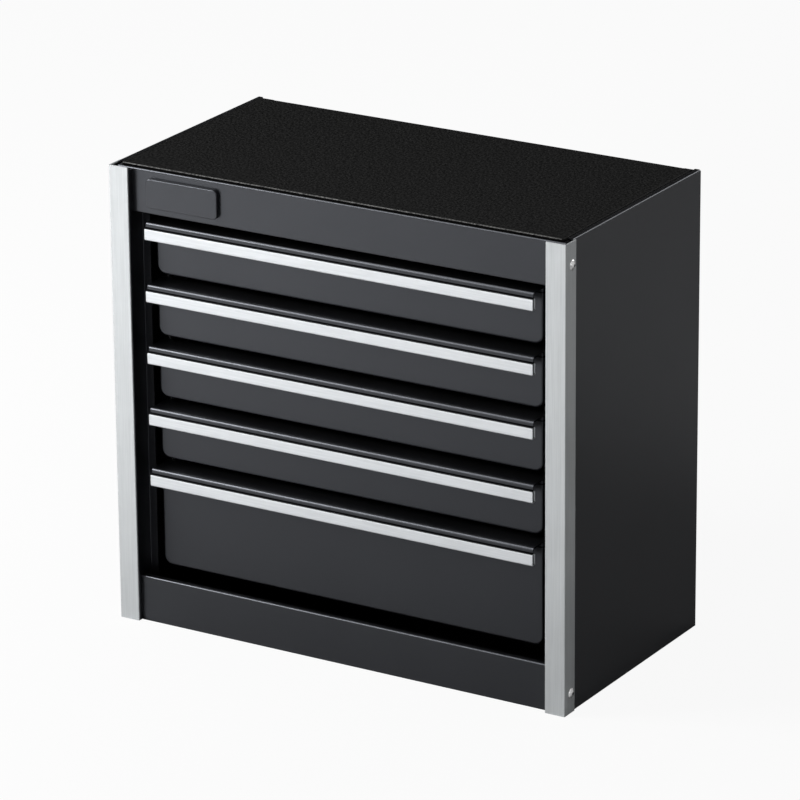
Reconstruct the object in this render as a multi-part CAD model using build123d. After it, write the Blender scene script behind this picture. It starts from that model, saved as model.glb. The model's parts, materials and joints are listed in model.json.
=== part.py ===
from build123d import *
import os
from math import sqrt

# A small steel chest: a folded shell with shallow drawers over a deep drawer, all on ball slides.
# Millimetres. X runs to the right, Y to the back and Z up, from the floor under the chest's middle.
# A depth is counted backwards from the front of the corner strips.

# Overall size over the corner strips and the edges of the sides, without the mat and the rivet heads
WIDTH = 317.0
DEPTH = 167.0
HEIGHT = 295.0

# Sheet metal of the shell, with bend radii on the middle of the sheet
SHEET = 0.8
BEND = 0.7
FOLD_LAP = 3.0
SHELL_FLANGE = 11.4
SEAT_GAP = 0.5
TOP_DROP = 1.5
SIDE_FLANGE = 3.8
SIDE_FLANGE_FRONT = 10.6

# Aluminium corner strips
STRIP_SHEET = 0.9
STRIP_FRONT_LEG = 13.6
STRIP_SIDE_LEG = 12.4
STRIP_CORNER = 0.5
STRIP_EDGE = 0.5
STRIP_DROP = 0.7

# Blind rivets of the corner strips
RIVET_SHANK = 3.2
RIVET_HEAD = 6.4
RIVET_HEAD_HEIGHT = 1.4
RIVET_BORE = 1.8
RIVET_BORE_DEPTH = 1.6
RIVET_BULB = 4.8
RIVET_BULB_LENGTH = 3.0
RIVET_PLAY = 0.05
RIVET_DEPTH = 8.0
RIVET_DROP = 14.2
RIVET_RISE = 12.6

# Front posts, folded from the sides
POST_DEPTH = 15.1
POST_FLANGE = 5.2

# Header rail and base rail
RAIL_RETURN = 4.0
HEADER_RECESS = 5.0
HEADER_HEIGHT = 28.1
HEADER_END_GAP = 1.5
BASE_RECESS = 3.6
BASE_HEIGHT = 29.4

# Badge plate on the header rail
BADGE_WIDTH = 51.0
BADGE_HEIGHT = 18.3
BADGE_THICKNESS = 2.6
BADGE_CORNER = 3.0
BADGE_EDGE = 0.6
BADGE_INSET = 11.2
BADGE_DROP = 5.0

# Rubber mat on the top
MAT_THICKNESS = 2.0
MAT_SIDE_INSET = 4.4
MAT_FRONT_INSET = 5.8
MAT_BACK_INSET = 4.6
MAT_CORNER = 1.5
MAT_EDGE = 0.5

# Drawer fronts
SHALLOW_FRONT = 35.6
DRAWER_GAP = 4.1
HEADER_GAP = 4.8
BASE_GAP = 5.8
FACE_GAP = 4.4
FACE_RECESS = 14.8
FACE_CORNER = 6.0
FACE_EDGE = 1.5
FRONT_SHEET = 0.8
FRONT_RETURN = 8.0
LIP_RECESS = 3.5
LIP_BEND = 1.6
LIP_END_INSET = 0.5

# Handle profiles on the lips
HANDLE_HEIGHT = 7.5
HANDLE_DEPTH = 3.6
HANDLE_WALL = 1.1
HANDLE_CORNER = 1.0
HANDLE_SLOT = 1.3
HANDLE_END_EDGE = 0.3
HANDLE_DROP = 3.7

# Drawer trays
TRAY_SHEET = 0.7
TRAY_RISE = 3.4
TRAY_DROP = 6.0
TRAY_REAR_GAP = 7.4

# Ball slides
TRAVEL = 95.0
SLIDE_WIDTH = 10.0
SLIDE_HEIGHT = 17.0
SLIDE_SHEET = 1.0
SLIDE_BEND = 0.6
SLIDE_DROP = 21.0
SLIDE_FRONT_GAP = 1.0
CABINET_LIP = 0.9
DRAWER_LIP = 0.8
STOP_HEIGHT = 5.0
STOP_PLAY = 0.3
BALL = 2.5
BALL_PLAY = 0.3
BALLS_PER_ROW = 4
CAGE_SHEET = 0.5
CAGE_BEND = 0.5
CAGE_LENGTH = 60.0
CAGE_PLAY = 0.4
CAGE_STOP = 1.0

# Uprights that carry the cabinet rails
UPRIGHT_SHEET = 1.0
UPRIGHT_BEND = 1.2
UPRIGHT_WEB = 20.0
UPRIGHT_FOOT = 7.0
UPRIGHT_INSET = 4.0

# Places across the width, from the middle
front_y = -DEPTH / 2
side_outer = WIDTH / 2 - STRIP_SHEET
side_inner = side_outer - SHEET
post_inner = WIDTH / 2 - STRIP_FRONT_LEG
post_edge = post_inner - POST_FLANGE
face_half = post_edge - FACE_GAP
slide_outer = post_edge - SEAT_GAP
tongue_half = post_edge - SEAT_GAP
tray_half = slide_outer - SLIDE_WIDTH

# Depths
post_back = POST_DEPTH + SHEET
panel_notch = post_back + SEAT_GAP
lip_middle = LIP_RECESS + FRONT_SHEET / 2
lip_back = LIP_RECESS + FRONT_SHEET
back_front = DEPTH - 2 * SHEET
tray_front = FACE_RECESS + FRONT_SHEET
tray_back = back_front - TRAY_REAR_GAP
slide_front = FACE_RECESS + FRONT_RETURN + SLIDE_FRONT_GAP
slide_back = tray_back
cage_front = slide_front + CAGE_STOP + TRAVEL / 2

# Heights
top_level = HEIGHT - TOP_DROP
strip_top = HEIGHT - STRIP_DROP
side_wall_top = HEIGHT - BEND - SHEET / 2
rail_wall_top = top_level - BEND - SHEET / 2
rivet_heights = (RIVET_RISE, strip_top - RIVET_DROP)
header_bottom = top_level - HEADER_HEIGHT
deep_bottom = BASE_HEIGHT + BASE_GAP
drawer_space = header_bottom - HEADER_GAP - deep_bottom
shallow_pitch = SHALLOW_FRONT + DRAWER_GAP

# Lip top and front height of each drawer, from the bottom up. As many shallow drawers as fit would fill
# the space: the deep drawer takes the place of the lowest one and what is left over.
shallow_drawers = int(drawer_space // shallow_pitch) - 1
deep_front = drawer_space - shallow_drawers * shallow_pitch
drawers = [(deep_bottom + deep_front, deep_front)]
for above in range(shallow_drawers):
    drawers.append((drawers[above][0] + shallow_pitch, SHALLOW_FRONT))

# Section of a ball slide: places outwards from the tray's side, and heights from the slide's middle
cabinet_web = SLIDE_WIDTH - SLIDE_SHEET
cage_web = cabinet_web - CAGE_PLAY - CAGE_SHEET
drawer_lip_outer = cage_web - BALL_PLAY
ball_height = SLIDE_HEIGHT / 2 - SLIDE_SHEET - BALL_PLAY - BALL / 2
drawer_rail_height = ball_height - BALL_PLAY - BALL / 2
ball_room = BALL + 2 * CAGE_PLAY
ball_across = drawer_lip_outer - SLIDE_SHEET - CAGE_PLAY - BALL / 2
cabinet_lip_outer = ball_across - ball_room / 2


# Solids run out of a section: the section's own axes are depth and height, X and height, or X and depth


def along_x(section, half_length):
    plane = Plane(origin=(-half_length, front_y, 0), x_dir=(0, 1, 0), z_dir=(1, 0, 0))
    return extrude(plane * section, amount=2 * half_length, dir=(1, 0, 0))


def along_depth(section, near, far):
    plane = Plane(origin=(0, front_y + far, 0), x_dir=(1, 0, 0), z_dir=(0, -1, 0))
    return extrude(plane * section, amount=far - near, dir=(0, -1, 0))


def along_z(section, low, high):
    plane = Plane(origin=(0, front_y, low), x_dir=(1, 0, 0), z_dir=(0, 0, 1))
    return extrude(plane * section, amount=high - low, dir=(0, 0, 1))


def folded(points, thickness, bend):
    return trace(FilletPolyline(*points, radius=bend), thickness)


def block(across, depths, heights):
    middles = [(low + high) / 2 for low, high in (across, depths, heights)]
    sizes = [high - low for low, high in (across, depths, heights)]
    return Pos(middles[0], front_y + middles[1], middles[2]) * Box(*sizes)


def left_of(solid):
    return mirror(solid, about=Plane.YZ)


# Shell


def rivet_holes(radius):
    rod = Rot(0, 90, 0) * Cylinder(radius, STRIP_FRONT_LEG)
    return [Pos(side_outer, front_y + RIVET_DEPTH, height) * rod for height in rivet_heights]


def right_side():
    middle = side_outer - SHEET / 2
    post_middle = post_inner + SHEET / 2
    front_middle = STRIP_SHEET + SHEET / 2
    plan = [
        (post_edge, POST_DEPTH + SHEET / 2),
        (post_middle, POST_DEPTH + SHEET / 2),
        (post_middle, front_middle),
        (middle, front_middle),
        (middle, DEPTH - SHEET / 2),
        (side_outer - SHELL_FLANGE, DEPTH - SHEET / 2),
    ]
    top_fold = [
        (middle, HEIGHT - FOLD_LAP - BEND),
        (middle, HEIGHT - SHEET / 2),
        (side_outer - SIDE_FLANGE, HEIGHT - SHEET / 2),
    ]
    wall = along_z(folded(plan, SHEET, BEND), 0, side_wall_top)
    wall -= block((post_edge, side_inner), (0, panel_notch), (rail_wall_top, HEIGHT))
    flange_ends = (SIDE_FLANGE_FRONT, DEPTH - BEND - SHEET / 2)
    top_flange = along_depth(folded(top_fold, SHEET, BEND), *flange_ends)
    foot = block((side_outer - SHELL_FLANGE, middle), (panel_notch, DEPTH - SHEET / 2), (0, SHEET))
    return wall + top_flange + foot - rivet_holes(RIVET_SHANK / 2 + RIVET_PLAY)


def right_corner_strip():
    angle = [
        (post_inner, STRIP_SHEET),
        (post_inner, 0),
        (WIDTH / 2, 0),
        (WIDTH / 2, STRIP_SIDE_LEG),
        (side_outer, STRIP_SIDE_LEG),
        (side_outer, STRIP_SHEET),
    ]
    section = make_face(Polyline(*angle, close=True))
    for corner, radius in zip(angle[1:4], (STRIP_EDGE, STRIP_CORNER, STRIP_EDGE)):
        section = fillet(section.vertices().sort_by_distance(corner)[0], radius)
    return along_z(section, 0, strip_top) - rivet_holes(RIVET_SHANK / 2 + RIVET_PLAY)


def rivet():
    dome = (RIVET_HEAD**2 / 4 + RIVET_HEAD_HEIGHT**2) / (2 * RIVET_HEAD_HEIGHT)
    rim_radii = (RIVET_BORE / 2, (RIVET_BORE + RIVET_HEAD) / 4, RIVET_HEAD / 2)
    crown = [(sqrt(dome**2 - r**2) + RIVET_HEAD_HEIGHT - dome, r) for r in rim_radii]
    grip = -STRIP_SHEET - SHEET
    bore_end = RIVET_HEAD_HEIGHT - RIVET_BORE_DEPTH
    rest = [
        crown[-1],
        (0, RIVET_SHANK / 2),
        (grip, RIVET_SHANK / 2),
        (grip, RIVET_BULB / 2),
        (grip - RIVET_BULB_LENGTH, RIVET_BULB / 2),
        (grip - RIVET_BULB_LENGTH, 0),
        (bore_end, 0),
        (bore_end, RIVET_BORE / 2),
        crown[0],
    ]
    outline = make_face(ThreePointArc(*crown) + Polyline(rest))
    return revolve(outline, axis=Axis.X)


def corner_rivets():
    right = [Pos(WIDTH / 2, front_y + RIVET_DEPTH, height) * rivet() for height in rivet_heights]
    return right + [left_of(one) for one in right]


def header_rail():
    middle = HEADER_RECESS + SHEET / 2
    path = [
        (HEADER_RECESS + RAIL_RETURN, header_bottom + SHEET / 2),
        (middle, header_bottom + SHEET / 2),
        (middle, top_level - SHEET / 2),
        (STRIP_SIDE_LEG - SEAT_GAP, top_level - SHEET / 2),
    ]
    rail = along_x(folded(path, SHEET, BEND), side_inner - HEADER_END_GAP)
    over_post = block((post_inner, side_inner), (0, POST_DEPTH), (header_bottom, rail_wall_top))
    return rail - [over_post, left_of(over_post)]


def base_rail():
    middle = BASE_RECESS + SHEET / 2
    path = [
        (middle, 0),
        (middle, BASE_HEIGHT - SHEET / 2),
        (BASE_RECESS + RAIL_RETURN, BASE_HEIGHT - SHEET / 2),
    ]
    return along_x(folded(path, SHEET, BEND), post_inner)


def top_panel():
    heights = (top_level - 2 * SHEET, top_level - SHEET)
    panel = block((-side_inner, side_inner), (panel_notch, back_front - BEND), heights)
    tongue_depths = (HEADER_RECESS + SHEET + BEND, panel_notch)
    return panel + block((-tongue_half, tongue_half), tongue_depths, heights)


def bottom_panel():
    middle = SHEET + SHEET / 2
    path = [
        (BASE_RECESS + middle, SHELL_FLANGE),
        (BASE_RECESS + middle, middle),
        (POST_DEPTH - SEAT_GAP, middle),
    ]
    panel = block((-side_inner, side_inner), (panel_notch, back_front), (SHEET, 2 * SHEET))
    tongue_depths = (POST_DEPTH - SEAT_GAP, panel_notch)
    panel += block((-tongue_half, tongue_half), tongue_depths, (SHEET, 2 * SHEET))
    return panel + along_x(folded(path, SHEET, BEND), post_inner - SEAT_GAP)


def back_panel():
    middle = back_front + SHEET / 2
    path = [
        (middle, top_level - FOLD_LAP - BEND),
        (middle, top_level - SHEET / 2),
        (middle - SHELL_FLANGE, top_level - SHEET / 2),
    ]
    half_width = side_inner - BEND
    sheet = block((-half_width, half_width), (back_front, back_front + SHEET), (SHEET, rail_wall_top))
    return sheet + along_x(folded(path, SHEET, BEND), post_inner)


def top_mat():
    half_width = side_outer - MAT_SIDE_INSET
    depths = (MAT_FRONT_INSET, DEPTH - MAT_BACK_INSET)
    mat = block((-half_width, half_width), depths, (top_level, top_level + MAT_THICKNESS))
    mat = fillet(mat.edges().filter_by(Axis.Z), MAT_CORNER)
    return chamfer(mat.faces().sort_by(Axis.Z)[-1].edges(), MAT_EDGE)


def badge_plate():
    centre_x = -post_inner + BADGE_INSET + BADGE_WIDTH / 2
    centre_z = top_level - BADGE_DROP - BADGE_HEIGHT / 2
    outline = Pos(centre_x, centre_z) * RectangleRounded(BADGE_WIDTH, BADGE_HEIGHT, BADGE_CORNER)
    plate = along_depth(outline, HEADER_RECESS - BADGE_THICKNESS, HEADER_RECESS)
    return fillet(plate.faces().sort_by(Axis.Y)[0].edges(), BADGE_EDGE)


def right_upright(near):
    face = slide_outer + UPRIGHT_SHEET / 2
    foot = side_inner - UPRIGHT_SHEET / 2
    web_near = near + UPRIGHT_FOOT
    web_far = web_near + UPRIGHT_WEB
    plan = [
        (foot, near),
        (foot, web_near),
        (face, web_near),
        (face, web_far),
        (foot, web_far),
        (foot, web_far + UPRIGHT_FOOT),
    ]
    return along_z(folded(plan, UPRIGHT_SHEET, UPRIGHT_BEND), BASE_HEIGHT, header_bottom)


# Ball slides


def channel(web, edge, height, lip, thickness, bend):
    """A channel's section at the right of the tray: web and edge are its outer faces, lip its turned edge."""
    web_middle = tray_half + web + (thickness / 2 if web < edge else -thickness / 2)
    edge_middle = tray_half + edge + (-thickness / 2 if web < edge else thickness / 2)
    half = [
        (edge_middle, height + lip),
        (edge_middle, height),
        (web_middle, height),
    ]
    return folded(half + [(x, -z) for x, z in reversed(half)], thickness, bend)


def right_cabinet_rail(middle_z):
    flange = SLIDE_HEIGHT / 2 - SLIDE_SHEET / 2
    lip = -CABINET_LIP - SLIDE_SHEET / 2
    edge = cabinet_lip_outer - SLIDE_SHEET
    section = channel(SLIDE_WIDTH, edge, flange, lip, SLIDE_SHEET, SLIDE_BEND)
    rail = along_depth(Pos(0, middle_z) * section, slide_front, slide_back)
    tab_heights = (middle_z - STOP_HEIGHT / 2, middle_z + STOP_HEIGHT / 2)
    tab_across = (tray_half + SLIDE_SHEET, tray_half + cabinet_web + SLIDE_SHEET / 2)
    return rail + block(tab_across, (slide_back - SLIDE_SHEET, slide_back), tab_heights)


def right_drawer_rail(middle_z):
    flange = drawer_rail_height - SLIDE_SHEET / 2
    lip = DRAWER_LIP + SLIDE_SHEET / 2
    section = channel(0, drawer_lip_outer, flange, lip, SLIDE_SHEET, SLIDE_BEND)
    return along_depth(Pos(0, middle_z) * section, slide_front, slide_back - SLIDE_SHEET - STOP_PLAY)


def right_ball_cage(middle_z):
    web = tray_half + cage_web + CAGE_SHEET / 2
    edge = tray_half + cabinet_lip_outer + CAGE_PLAY
    half = [(edge, ball_height), (web, ball_height)]
    section = folded(half + [(x, -z) for x, z in reversed(half)], CAGE_SHEET, CAGE_BEND)
    strip = along_depth(Pos(0, middle_z) * section, cage_front, cage_front + CAGE_LENGTH)
    pitch = CAGE_LENGTH / BALLS_PER_ROW
    seats = [
        (tray_half + ball_across, front_y + cage_front + (n + 1 / 2) * pitch, middle_z + row)
        for n in range(BALLS_PER_ROW)
        for row in (-ball_height, ball_height)
    ]
    hole = Cylinder(BALL / 2 + BALL_PLAY, 2 * CAGE_SHEET)
    strip -= [Pos(*seat) * hole for seat in seats]
    return [strip] + [Pos(*seat) * Sphere(BALL / 2) for seat in seats]


# Drawers


def drawer_front(top, height):
    pan = block((-face_half, face_half), (FACE_RECESS, FACE_RECESS + FRONT_RETURN), (top - height, top))
    pan = fillet(pan.edges().filter_by(Axis.Y).sort_by(Axis.Z)[:2], FACE_CORNER)
    rim = pan.faces().sort_by(Axis.Y)[0].edges().sort_by(Axis.Z)[:-1]
    pan = fillet(rim, FACE_EDGE)
    pan = offset(pan, amount=-FRONT_SHEET, openings=pan.faces().sort_by(Axis.Y)[-1])
    shelf_middle = top - FRONT_SHEET / 2
    lip_bottom = top - HANDLE_DROP - HANDLE_HEIGHT + HANDLE_WALL
    path = [
        (FACE_RECESS + FRONT_SHEET / 2, shelf_middle),
        (lip_middle, shelf_middle),
        (lip_middle, lip_bottom),
    ]
    return pan + along_x(folded(path, FRONT_SHEET, LIP_BEND), face_half - LIP_END_INSET)


def drawer_handle(top):
    handle_top = top - HANDLE_DROP
    outer = RectangleRounded(HANDLE_DEPTH, HANDLE_HEIGHT, HANDLE_CORNER)
    hollow = Rectangle(HANDLE_DEPTH - 2 * HANDLE_WALL, HANDLE_HEIGHT - 2 * HANDLE_WALL)
    profile = Pos(lip_middle, handle_top - HANDLE_HEIGHT / 2) * (outer - hollow)
    slot = Pos(lip_back - HANDLE_SLOT / 2, handle_top) * Rectangle(HANDLE_SLOT, 2 * HANDLE_WALL)
    handle = along_x(profile - slot, face_half)
    ends = handle.faces().filter_by(Axis.X)
    return chamfer(ends.sort_by(Axis.X)[0].edges() + ends.sort_by(Axis.X)[-1].edges(), HANDLE_END_EDGE)


def drawer_tray(top, height):
    heights = (top - height + TRAY_RISE, top - TRAY_DROP)
    inner_half = tray_half - TRAY_SHEET
    inner_depths = (tray_front + TRAY_SHEET, tray_back - TRAY_SHEET)
    body = block((-tray_half, tray_half), (tray_front, tray_back), heights)
    return body - block((-inner_half, inner_half), inner_depths, (heights[0] + TRAY_SHEET, top))


# Every piece by its name

pieces = {
    "left_side": left_of(right_side()),
    "right_side": right_side(),
    "left_corner_strip": left_of(right_corner_strip()),
    "right_corner_strip": right_corner_strip(),
    "corner_rivets": corner_rivets(),
    "header_rail": header_rail(),
    "base_rail": base_rail(),
    "top_panel": top_panel(),
    "bottom_panel": bottom_panel(),
    "back_panel": back_panel(),
    "top_mat": top_mat(),
    "badge_plate": badge_plate(),
}

upright_length = UPRIGHT_WEB + 2 * UPRIGHT_FOOT
upright_places = {
    "front": slide_front + UPRIGHT_INSET,
    "rear": slide_back - UPRIGHT_INSET - upright_length,
}
for place, near in upright_places.items():
    pieces[f"right_{place}_upright"] = right_upright(near)
    pieces[f"left_{place}_upright"] = left_of(right_upright(near))

for number, (top, height) in enumerate(drawers, start=1):
    slide_z = top - SLIDE_DROP
    cabinet_rail = right_cabinet_rail(slide_z)
    drawer_rail = right_drawer_rail(slide_z)
    cage = right_ball_cage(slide_z)
    pieces[f"drawer_{number}_front"] = drawer_front(top, height)
    pieces[f"drawer_{number}_tray"] = drawer_tray(top, height)
    pieces[f"drawer_{number}_handle"] = drawer_handle(top)
    pieces[f"drawer_{number}_right_rail"] = drawer_rail
    pieces[f"drawer_{number}_left_rail"] = left_of(drawer_rail)
    pieces[f"cabinet_{number}_right_rail"] = cabinet_rail
    pieces[f"cabinet_{number}_left_rail"] = left_of(cabinet_rail)
    pieces[f"drawer_{number}_ball_cages"] = cage + [left_of(one) for one in cage]

os.makedirs("parts", exist_ok=True)
for name, piece in pieces.items():
    shape = Compound(piece) if isinstance(piece, list) else piece
    export_step(shape, f"parts/{name}.step")
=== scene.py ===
import json
from math import cos, pi, radians, sin

import bmesh
import bpy
from mathutils import Matrix, Vector


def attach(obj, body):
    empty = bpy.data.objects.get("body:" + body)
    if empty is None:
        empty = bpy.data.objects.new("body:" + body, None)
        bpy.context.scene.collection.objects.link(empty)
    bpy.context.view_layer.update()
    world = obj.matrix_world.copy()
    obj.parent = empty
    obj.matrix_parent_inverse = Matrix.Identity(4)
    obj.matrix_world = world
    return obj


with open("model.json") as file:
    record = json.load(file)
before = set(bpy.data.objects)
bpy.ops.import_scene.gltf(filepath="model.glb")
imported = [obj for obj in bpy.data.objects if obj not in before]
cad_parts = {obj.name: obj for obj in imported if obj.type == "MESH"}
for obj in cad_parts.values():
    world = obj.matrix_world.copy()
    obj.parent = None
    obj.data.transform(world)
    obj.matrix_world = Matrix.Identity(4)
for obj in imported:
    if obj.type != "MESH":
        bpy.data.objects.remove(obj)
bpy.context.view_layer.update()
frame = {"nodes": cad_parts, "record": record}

# The imported chest as the frame
nodes = frame["nodes"]
scene = bpy.context.scene
scene.view_settings.view_transform = "Standard"

# Lengths are metres, as in the frame
MM = 0.001

# Ways that a face can look
FRONT = (0, -1, 0)
FRONT_AND_UP = (0, -1, 1)
UP = (0, 0, 1)
SIDEWAYS = ((-1, 0, 0), (1, 0, 0))

# Camera at the photograph's angle, without shift: angles in degrees, lens and sensor in millimetres
CAMERA_AZIMUTH = 31.311
CAMERA_ELEVATION = 19.724
CAMERA_ROLL = -0.473
CAMERA_DISTANCE = 3.1846
CAMERA_AIM = (-4.0 * MM, 0.63 * MM)
CAMERA_CENTRE = Vector((0, 0, 145 * MM))
CAMERA_CLIP_END = 50
CAMERA_LENS = 234.36
SENSOR = 36.0


def make_camera():
    turn, rise, roll = (radians(angle) for angle in (CAMERA_AZIMUTH, CAMERA_ELEVATION, CAMERA_ROLL))
    back = Vector((sin(turn) * cos(rise), -cos(turn) * cos(rise), sin(rise)))
    across = Vector((cos(turn), sin(turn), 0))
    upward = back.cross(across)
    right = cos(roll) * across + sin(roll) * upward
    up = cos(roll) * upward - sin(roll) * across
    data = bpy.data.cameras.new("camera")
    data.lens = CAMERA_LENS
    data.sensor_width = SENSOR
    data.clip_end = CAMERA_CLIP_END
    camera = bpy.data.objects.new("camera", data)
    place = CAMERA_CENTRE + right * CAMERA_AIM[0] + up * CAMERA_AIM[1] + back * CAMERA_DISTANCE
    turned = Matrix((right, up, back)).transposed().to_4x4()
    camera.matrix_world = Matrix.Translation(place) @ turned
    scene.collection.objects.link(camera)
    scene.camera = camera


make_camera()


# Nodes of a material

NOISE_RANGE = (0.3, 0.7)
WHOLE_RANGE = (0.0, 1.0)
EVEN = (1, 1, 1)


def new_material(name):
    made = bpy.data.materials.new(name)
    made.use_nodes = True
    return made, made.node_tree, made.node_tree.nodes["Principled BSDF"]


def place_on_object(tree, stretch):
    spot = tree.nodes.new("ShaderNodeTexCoord")
    mapping = tree.nodes.new("ShaderNodeMapping")
    mapping.inputs["Scale"].default_value = stretch
    tree.links.new(spot.outputs["Object"], mapping.inputs["Vector"])
    return mapping.outputs["Vector"]


def place_along(tree, axis):
    """Place along X, Y or Z in the frame."""
    spot = tree.nodes.new("ShaderNodeTexCoord")
    apart = tree.nodes.new("ShaderNodeSeparateXYZ")
    tree.links.new(spot.outputs["Object"], apart.inputs["Vector"])
    return apart.outputs[axis]


def noise(tree, grain, detail, stretch=EVEN):
    """Noise whose grain is a length; a stretch below 1 draws it out along that axis."""
    made = tree.nodes.new("ShaderNodeTexNoise")
    made.inputs["Scale"].default_value = 1 / grain
    made.inputs["Detail"].default_value = detail
    tree.links.new(place_on_object(tree, stretch), made.inputs["Vector"])
    return made.outputs["Fac"]


def cells(tree, grain):
    made = tree.nodes.new("ShaderNodeTexVoronoi")
    made.inputs["Scale"].default_value = 1 / grain
    tree.links.new(place_on_object(tree, EVEN), made.inputs["Vector"])
    return made.outputs["Distance"]


def spread(tree, value, low, high, source=NOISE_RANGE):
    made = tree.nodes.new("ShaderNodeMapRange")
    made.inputs["From Min"].default_value = source[0]
    made.inputs["From Max"].default_value = source[1]
    made.inputs["To Min"].default_value = low
    made.inputs["To Max"].default_value = high
    tree.links.new(value, made.inputs["Value"])
    return made.outputs["Result"]


def colours(tree, value, stops):
    """Colour ramp from stops of a position and a colour each."""
    made = tree.nodes.new("ShaderNodeValToRGB")
    ramp = made.color_ramp
    while len(ramp.elements) < len(stops):
        ramp.elements.new(0.5)
    for element, (position, colour) in zip(ramp.elements, stops):
        element.position = position
        element.color = (*colour, 1)
    tree.links.new(value, made.inputs["Fac"])
    return made.outputs["Color"]


def bumped(tree, shader, height, distance, strength=0.5, over=None):
    made = tree.nodes.new("ShaderNodeBump")
    made.inputs["Distance"].default_value = distance
    made.inputs["Strength"].default_value = strength
    tree.links.new(height, made.inputs["Height"])
    if over is not None:
        tree.links.new(over, made.inputs["Normal"])
    tree.links.new(made.outputs["Normal"], shader.inputs["Normal"])
    return made.outputs["Normal"]


def facing(tree, way, start, full=1.0):
    """1 where the surface looks a way, falling to 0 at the start cosine."""
    shape = tree.nodes.new("ShaderNodeNewGeometry")
    turned = tree.nodes.new("ShaderNodeVectorMath")
    turned.operation = "DOT_PRODUCT"
    turned.inputs[1].default_value = Vector(way).normalized()
    tree.links.new(shape.outputs["True Normal"], turned.inputs[0])
    return spread(tree, turned.outputs["Value"], *WHOLE_RANGE, (start, full))


def blend(tree, share, first, second):
    made = tree.nodes.new("ShaderNodeMix")
    made.data_type = "RGBA"
    tree.links.new(share, made.inputs["Factor"])
    tree.links.new(first, made.inputs["A"])
    tree.links.new(second, made.inputs["B"])
    return made.outputs["Result"]


def arithmetic(tree, operation, first, second):
    made = tree.nodes.new("ShaderNodeMath")
    made.operation = operation
    for socket, value in zip(made.inputs, (first, second)):
        if isinstance(value, float):
            socket.default_value = value
        else:
            tree.links.new(value, socket)
    return made.outputs[0]


# Tones darkened to a share, for painted shade
def painted_shade_tones(tones, share):
    return [[share * value for value in tone] for tone in tones]


# Satin black paint, with painted shade along the drawers' lips: no gloss in the seam just over the handles

PAINT_TONES = ((0.0020, 0.0020, 0.0022), (0.0028, 0.0028, 0.0031))
BADGE_TONES = ((0.0024, 0.0024, 0.0026), (0.0034, 0.0034, 0.0037))
PAINT_CLOUD = 60 * MM
PAINT_PEEL = 1.6 * MM
PAINT_PEEL_HEIGHT = 0.02 * MM
PAINT_ROUGHNESS = (0.28, 0.33)
PAINT_GLOSS = 0.75
PAINT_TINT = (0.86, 0.90, 1.0)
# Painted shade in the seam just over each handle: the lip has no gloss up to the first height and full gloss
# again from the second
SEAM_PAINTED_SHADE = (0.6 * MM, 1.0 * MM)


def handle_top(number):
    return max(corner.co.z for corner in nodes[f"drawer_{number}_handle"].data.vertices)


def outside_painted_seam_shade(tree):
    """0 on the lips just over the handles, where shade is painted in the seam by taking away the gloss, and 1
    elsewhere.
    """
    lowest = handle_top(1)
    pitch = handle_top(2) - lowest
    risen = arithmetic(tree, "SUBTRACT", place_along(tree, "Z"), lowest)
    risen = arithmetic(tree, "MAXIMUM", risen, -SEAM_PAINTED_SHADE[1])
    rest = arithmetic(tree, "FRACT", arithmetic(tree, "DIVIDE", risen, pitch), 0.0)
    return spread(tree, rest, *WHOLE_RANGE, [height / pitch for height in SEAM_PAINTED_SHADE])


def satin_paint(name, tones, painted_seam_shade=False):
    made, tree, shader = new_material(name)
    cloud = noise(tree, PAINT_CLOUD, 2)
    peel = noise(tree, PAINT_PEEL, 2)
    tree.links.new(colours(tree, cloud, list(zip(NOISE_RANGE, tones))), shader.inputs["Base Color"])
    tree.links.new(spread(tree, cloud, *PAINT_ROUGHNESS), shader.inputs["Roughness"])
    shader.inputs["Specular IOR Level"].default_value = PAINT_GLOSS
    shader.inputs["Specular Tint"].default_value = (*PAINT_TINT, 1)
    if painted_seam_shade:
        # Painted shade: the gloss is taken away in the seam over the handles
        gloss = arithmetic(tree, "MULTIPLY", outside_painted_seam_shade(tree), PAINT_GLOSS)
        tree.links.new(gloss, shader.inputs["Specular IOR Level"])
    bumped(tree, shader, peel, PAINT_PEEL_HEIGHT)
    return made


# Drawn aluminium of the strips, the handles and the rivets; shade is painted on the strips' side legs and the
# handles' tops

STRIP_TONES = ((0.55, 0.57, 0.58), (0.63, 0.65, 0.66))
STRIP_ROUGHNESS = (0.50, 0.56)
STRIP_DRAWN = (1, 1, 0.02)
# The strips' side legs keep this share of the colour: painted shade
STRIP_LEG_PAINTED_SHADE_SHARE = 0.78
HANDLE_TONES = ((0.65, 0.67, 0.69), (0.73, 0.75, 0.77))
HANDLE_ROUGHNESS = (0.52, 0.58)
HANDLE_DRAWN = (0.02, 1, 1)
# The handles' tops keep this share of the colour: painted shade, the dark line between handle and lip
HANDLE_TOP_PAINTED_SHADE_SHARE = 0.03
RIVET_TONES = ((0.88, 0.88, 0.88), (0.95, 0.95, 0.95))
RIVET_ROUGHNESS = (0.10, 0.16)
DRAWN_LINES = 0.7 * MM
DRAWN_LINE_HEIGHT = 0.006 * MM
DRAWN_LINE_RANGE = (0.25, 0.75)
ALUMINIUM_CLOUD = 30 * MM
# Cosines over which the painted shade fades in towards its way
PAINTED_SHADE_FADE = (0.1, 0.75)


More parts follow.
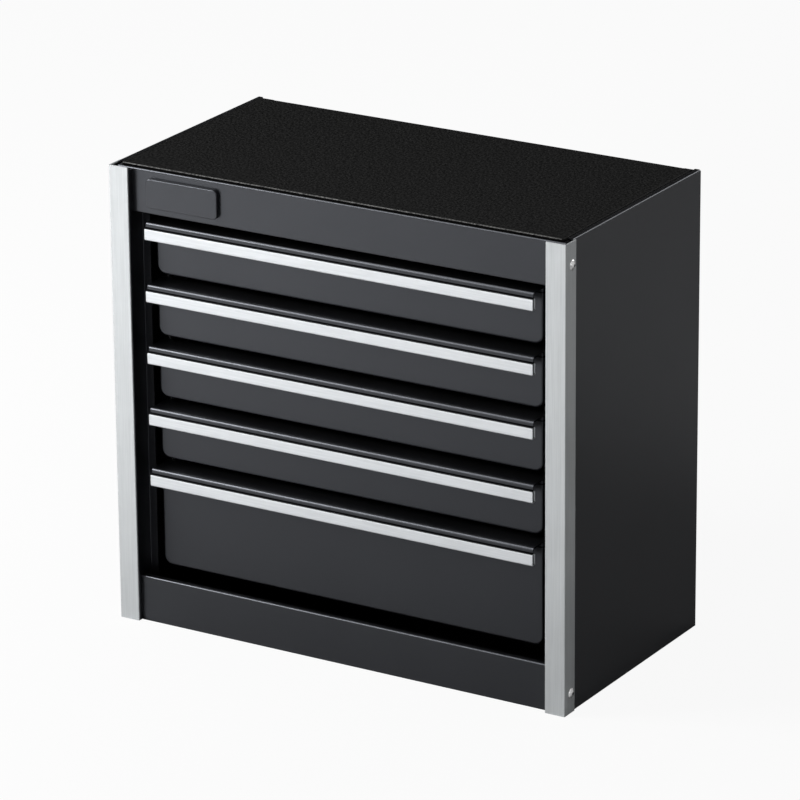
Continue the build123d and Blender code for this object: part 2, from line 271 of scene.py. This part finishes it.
def drawn_aluminium(name, tones, roughness, stretch=EVEN, painted_shade_ways=(), painted_shade_share=1.0):
    """Aluminium with fine drawn lines; the faces that look one of the painted shade ways keep only a share of
    its colour, which paints shade on them.
    """
    made, tree, shader = new_material(name)
    lines = noise(tree, DRAWN_LINES, 3, stretch)
    cloud = noise(tree, ALUMINIUM_CLOUD, 2)
    shader.inputs["Metallic"].default_value = 1.0
    drawn = colours(tree, lines, list(zip(DRAWN_LINE_RANGE, tones)))
    painted_shade_colour = colours(tree, lines, list(zip(DRAWN_LINE_RANGE, painted_shade_tones(tones, painted_shade_share))))
    # Painted shade on the faces that look these ways
    for way in painted_shade_ways:
        drawn = blend(tree, facing(tree, way, *PAINTED_SHADE_FADE), drawn, painted_shade_colour)
    tree.links.new(drawn, shader.inputs["Base Color"])
    tree.links.new(spread(tree, cloud, *roughness), shader.inputs["Roughness"])
    bumped(tree, shader, lines, DRAWN_LINE_HEIGHT)
    return made


# Grained rubber of the mat, with a painted highlight along its front top edge and painted shade on its front
# face

MAT_FACE = ((0.42, (0.0005, 0.0005, 0.0005)), (0.64, (0.014, 0.014, 0.0137)))
# Painted highlight along the front top edge, and painted shade on the front face
MAT_EDGE_PAINTED_HIGHLIGHT = ((0.35, (0.03, 0.03, 0.03)), (0.65, (0.16, 0.16, 0.155)))
MAT_FRONT_PAINTED_SHADE = ((0.35, (0.0006, 0.0006, 0.0006)), (0.65, (0.0016, 0.0016, 0.0016)))
MAT_FACING = 0.9
MAT_GRAIN = 1.8 * MM
MAT_GRAIN_HEIGHT = 0.25 * MM
MAT_GRAIN_STRENGTH = 0.8
MAT_SPECK = 1.4 * MM
MAT_SPECK_HEIGHT = 0.15 * MM
MAT_SPECK_STRENGTH = 0.6
MAT_ROUGHNESS = (0.5, 0.7)
MAT_GLOSS = 0.08
MAT_FRONT_PAINTED_SHADE_GLOSS = 0.02


def grained_rubber(name):
    """Dark rubber with a fine grain; its front top edge is paler and speckled as a painted highlight, and its
    front face is darker and less glossy as painted shade.
    """
    made, tree, shader = new_material(name)
    grain = cells(tree, MAT_GRAIN)
    speck = noise(tree, MAT_SPECK, 2)
    face, painted_highlight_edge, front_painted_shade = (colours(tree, speck, stops) for stops in (MAT_FACE, MAT_EDGE_PAINTED_HIGHLIGHT, MAT_FRONT_PAINTED_SHADE))
    front = facing(tree, FRONT, MAT_FACING)
    # Painted highlight along the front top edge
    edge_with_painted_highlight = blend(tree, facing(tree, FRONT_AND_UP, MAT_FACING), face, painted_highlight_edge)
    # Painted shade: the front face is darker and less glossy
    gloss = spread(tree, front, MAT_GLOSS, MAT_FRONT_PAINTED_SHADE_GLOSS, WHOLE_RANGE)
    tree.links.new(blend(tree, front, edge_with_painted_highlight, front_painted_shade), shader.inputs["Base Color"])
    tree.links.new(spread(tree, speck, *MAT_ROUGHNESS), shader.inputs["Roughness"])
    tree.links.new(gloss, shader.inputs["Specular IOR Level"])
    under = bumped(tree, shader, grain, MAT_GRAIN_HEIGHT, MAT_GRAIN_STRENGTH)
    bumped(tree, shader, speck, MAT_SPECK_HEIGHT, MAT_SPECK_STRENGTH, under)
    return made


# Zinc plated steel of the slides and the uprights, with painted shade on their front ends

STEEL_ZINC = ((0.3, (0.50, 0.52, 0.55)), (0.55, (0.60, 0.61, 0.62)), (0.8, (0.64, 0.63, 0.58)))
# Painted shade on the front-facing ends inside the chest
STEEL_FRONT_PAINTED_SHADE = ((0.3, (0.015, 0.015, 0.015)), (0.7, (0.03, 0.03, 0.03)))
STEEL_FACING = 0.5
STEEL_CLOUD = 9 * MM
STEEL_LINES = 0.8 * MM
STEEL_LINE_HEIGHT = 0.01 * MM
STEEL_DRAWN = (1, 0.03, 1)
STEEL_ROUGHNESS = (0.26, 0.42)


def plated_steel(name):
    """Zinc plated steel; its front-facing ends are darkened as painted shade."""
    made, tree, shader = new_material(name)
    cloud = noise(tree, STEEL_CLOUD, 4)
    lines = noise(tree, STEEL_LINES, 2, STEEL_DRAWN)
    shader.inputs["Metallic"].default_value = 1.0
    zinc, ends_painted_shade = (colours(tree, cloud, stops) for stops in (STEEL_ZINC, STEEL_FRONT_PAINTED_SHADE))
    front_facing = facing(tree, FRONT, STEEL_FACING)
    tree.links.new(blend(tree, front_facing, zinc, ends_painted_shade), shader.inputs["Base Color"])
    tree.links.new(spread(tree, cloud, *STEEL_ROUGHNESS), shader.inputs["Roughness"])
    bumped(tree, shader, lines, STEEL_LINE_HEIGHT)
    return made


# A finish for each material slot of the record

FINISHES = {
    "shell_paint": (satin_paint, PAINT_TONES),
    # True gives the drawers' lips painted shade in the seam over the handles
    "drawer_paint": (satin_paint, PAINT_TONES, True),
    "strip_aluminium": (
        drawn_aluminium, STRIP_TONES, STRIP_ROUGHNESS, STRIP_DRAWN, SIDEWAYS, STRIP_LEG_PAINTED_SHADE_SHARE,
    ),
    "handle_aluminium": (
        drawn_aluminium, HANDLE_TONES, HANDLE_ROUGHNESS, HANDLE_DRAWN, (UP,), HANDLE_TOP_PAINTED_SHADE_SHARE,
    ),
    "rivet_aluminium": (drawn_aluminium, RIVET_TONES, RIVET_ROUGHNESS),
    "mat_rubber": (grained_rubber,),
    "badge_plastic": (satin_paint, BADGE_TONES),
    "slide_steel": (plated_steel,),
}
finishes = {slot: make(slot, *values) for slot, (make, *values) in FINISHES.items()}
for part in frame["record"]["subparts"]:
    held = nodes[part["node"]].data.materials
    held.clear()
    held.append(finishes[part["material_slot"]])


# Broken mandrel ends in the bores of the rivets, each lathed from heights and shares of its radius

MANDREL_RADIUS = 0.86 * MM
MANDREL_FOOT_DEPTH = 1.6 * MM
MANDREL_PROFILE = (
    (0.02 * MM, 1.0), (1.40 * MM, 1.0), (1.50 * MM, 0.82), (1.54 * MM, 0.45), (1.46 * MM, 0.0),
)
MANDREL_SIDES = 20


def middle_of(values):
    return (min(values) + max(values)) / 2


def rivet_places():
    """The way that each rivet looks, and the middle of its head's rim, from the CAD node's corners."""
    rivets = nodes["corner_rivets"]
    spots = [rivets.matrix_world @ corner.co for corner in rivets.data.vertices]
    rim = max(spot.x for spot in spots)
    half_way_up = middle_of([spot.z for spot in spots])
    places = []
    for upper in (False, True):
        for way in (-1, 1):
            own = [spot for spot in spots if (spot.z > half_way_up) == upper and spot.x * way > 0]
            y = middle_of([spot.y for spot in own])
            z = middle_of([spot.z for spot in own])
            places.append((way, way * rim, y, z))
    return places


def rivet_mandrels():
    mesh = bmesh.new()
    for way, rim, y, z in rivet_places():
        rings = []
        for height, share in MANDREL_PROFILE:
            x = rim - way * (MANDREL_FOOT_DEPTH - height)
            radius = share * MANDREL_RADIUS
            turns = [2 * pi * side / MANDREL_SIDES for side in range(MANDREL_SIDES if share else 1)]
            spots = [(x, y + radius * cos(turn), z + radius * sin(turn)) for turn in turns]
            rings.append([mesh.verts.new(spot) for spot in spots])
        for low, high in zip(rings, rings[1:]):
            for side in range(MANDREL_SIDES):
                beside = (side + 1) % MANDREL_SIDES
                upper = [high[beside], high[side]] if len(high) > 1 else high
                mesh.faces.new([low[side], low[beside], *upper])
        mesh.faces.new(rings[0])
    bmesh.ops.recalc_face_normals(mesh, faces=mesh.faces)
    data = bpy.data.meshes.new("rivet_mandrels")
    mesh.to_mesh(data)
    mesh.free()
    made = bpy.data.objects.new("rivet_mandrels", data)
    data.materials.append(finishes["shell_paint"])
    scene.collection.objects.link(made)
    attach(made, "cabinet")


rivet_mandrels()


# Parts of the stage

def flat_sheet(name, low, high, finish):
    """A flat rectangle between two opposite corners that share one coordinate."""
    first, second = (axis for axis in range(3) if low[axis] != high[axis])
    corners = []
    for end, other_end in ((low, low), (high, low), (high, high), (low, high)):
        corner = list(low)
        corner[first] = end[first]
        corner[second] = other_end[second]
        corners.append(corner)
    mesh = bpy.data.meshes.new(name)
    mesh.from_pydata(corners, [], [range(len(corners))])
    made = bpy.data.objects.new(name, mesh)
    made.data.materials.append(finish)
    scene.collection.objects.link(made)
    return made


def new_matte(name):
    made, tree, shader = new_material(name)
    shader.inputs["Roughness"].default_value = 1.0
    shader.inputs["Specular IOR Level"].default_value = 0.0
    return made, tree, shader


def glow(tree, strength):
    made = tree.nodes.new("ShaderNodeEmission")
    made.inputs["Strength"].default_value = strength
    return made.outputs["Emission"]


def backdrop_share(tree, seen, mirrored):
    """How much of the white backdrop a ray meets: a share for what is seen and one for what metal mirrors."""
    path = tree.nodes.new("ShaderNodeLightPath")
    direct = arithmetic(tree, "MAXIMUM", path.outputs["Is Camera Ray"], path.outputs["Is Transmission Ray"])
    shares = [
        arithmetic(tree, "MULTIPLY", direct, seen),
        arithmetic(tree, "MULTIPLY", path.outputs["Is Glossy Ray"], mirrored),
    ]
    return arithmetic(tree, "MAXIMUM", *shares)


# White floor, with painted shade that shows mostly in reflections: a little greyer in front of the chest's
# right side and close to its front

FLOOR_HALF = 8.0
FLOOR_DROP = 0.2 * MM
FLOOR_FADE = (-0.5, 0.5)
# Painted shade: the white falls to the right of the chest and close to its front
FLOOR_PAINTED_SHADE_WHITES = ((0.0, 0.95), (0.6, 0.62), (0.66, 0.62), (0.9, 0.72))
FLOOR_NEAR_FADE = (-0.7, -0.12)
FLOOR_NEAR_PAINTED_SHADE_SHARES = (1.03, 0.84)
FLOOR_SEEN_SHARE = 0.93
FLOOR_MIRRORED_SHARE = 0.0


def floor_finish():
    made, tree, shader = new_matte("floor")
    along = spread(tree, place_along(tree, "X"), *WHOLE_RANGE, FLOOR_FADE)
    near = spread(tree, place_along(tree, "Y"), *FLOOR_NEAR_PAINTED_SHADE_SHARES, FLOOR_NEAR_FADE)
    whites = [(position, (white, white, white)) for position, white in FLOOR_PAINTED_SHADE_WHITES]
    white = arithmetic(tree, "MULTIPLY", colours(tree, along, whites), near)
    tree.links.new(white, shader.inputs["Base Color"])
    mixed = tree.nodes.new("ShaderNodeMixShader")
    tree.links.new(backdrop_share(tree, FLOOR_SEEN_SHARE, FLOOR_MIRRORED_SHARE), mixed.inputs["Fac"])
    tree.links.new(shader.outputs["BSDF"], mixed.inputs[1])
    tree.links.new(glow(tree, 1.0), mixed.inputs[2])
    tree.links.new(mixed.outputs["Shader"], tree.nodes["Material Output"].inputs["Surface"])
    return made


flat_sheet(
    "floor", (-FLOOR_HALF, -FLOOR_HALF, -FLOOR_DROP), (FLOOR_HALF, FLOOR_HALF, -FLOOR_DROP), floor_finish(),
)

# Cards that only mirroring surfaces meet, for painted shade and painted highlights in reflections: opposite
# corners, and the grey or the strength of light
PAINTED_SHADE_CARDS = {
    "right_floor_card": ((0.165, -0.15, 0), (4, 4, 0), 0.60),
    "right_card": ((0.77, -0.15, 0), (0.77, 4, 0.8), 0.62),
    "back_card": ((-3, 1.2, 0), (0.1, 1.2, 2), 0.04),
}
# Glowing cards, no lamps: painted highlights along the bends
PAINTED_HIGHLIGHT_CARDS = {
    "rear_card": ((0.4, 1.6, 0.85), (1.3, 1.6, 1.7), 3.5),
    "overhead_card": ((-1.7, -1.5, 1.9), (-0.3, 0.3, 1.9), 2.4),
}


def card(name, low, high, finish):
    made = flat_sheet(name, low, high, finish)
    made.visible_camera = made.visible_diffuse = False
    made.visible_transmission = made.visible_shadow = False


def painted_shade_card(name, low, high, grey):
    """A dull grey card for the right side or the top to mirror: painted shade in reflections."""
    finish, _, shader = new_matte(name)
    shader.inputs["Base Color"].default_value = (grey, grey, grey, 1)
    card(name, low, high, finish)


def painted_highlight_card(name, low, high, strength):
    """A glowing card, no lamp, seen only in reflections: it paints the highlights along the bends."""
    finish, tree, _ = new_material(name)
    tree.links.new(glow(tree, strength), tree.nodes["Material Output"].inputs["Surface"])
    card(name, low, high, finish)


for name, values in PAINTED_SHADE_CARDS.items():
    painted_shade_card(name, *values)
for name, values in PAINTED_HIGHLIGHT_CARDS.items():
    painted_highlight_card(name, *values)

# Fill light of the world, which is white where it is seen, and one softbox
WORLD_FILL = 0.246
SKY_SEEN_SHARE = 1.0
SKY_MIRRORED_SHARE = 0.74
KEY_PLACE = (-1.336, -0.937, 1.105)
KEY_AIM = (-0.05, -0.08, 0.15)
KEY_SIZE = (0.714, 0.839)
KEY_POWER = 41.3


def make_world():
    world = bpy.data.worlds.new("studio")
    world.use_nodes = True
    tree = world.node_tree
    backdrop = tree.nodes["Background"]
    backdrop.inputs["Color"].default_value = (1, 1, 1, 1)
    share = backdrop_share(tree, SKY_SEEN_SHARE, SKY_MIRRORED_SHARE)
    tree.links.new(spread(tree, share, WORLD_FILL, 1.0, WHOLE_RANGE), backdrop.inputs["Strength"])
    scene.world = world


def softbox(name, place, aim, size, power):
    data = bpy.data.lights.new(name, "AREA")
    data.shape = "RECTANGLE"
    data.size, data.size_y = size
    data.energy = power
    lamp = bpy.data.objects.new(name, data)
    lamp.location = place
    lamp.rotation_euler = (Vector(aim) - Vector(place)).to_track_quat("-Z", "Y").to_euler()
    scene.collection.objects.link(lamp)


make_world()
softbox("key", KEY_PLACE, KEY_AIM, KEY_SIZE, KEY_POWER)
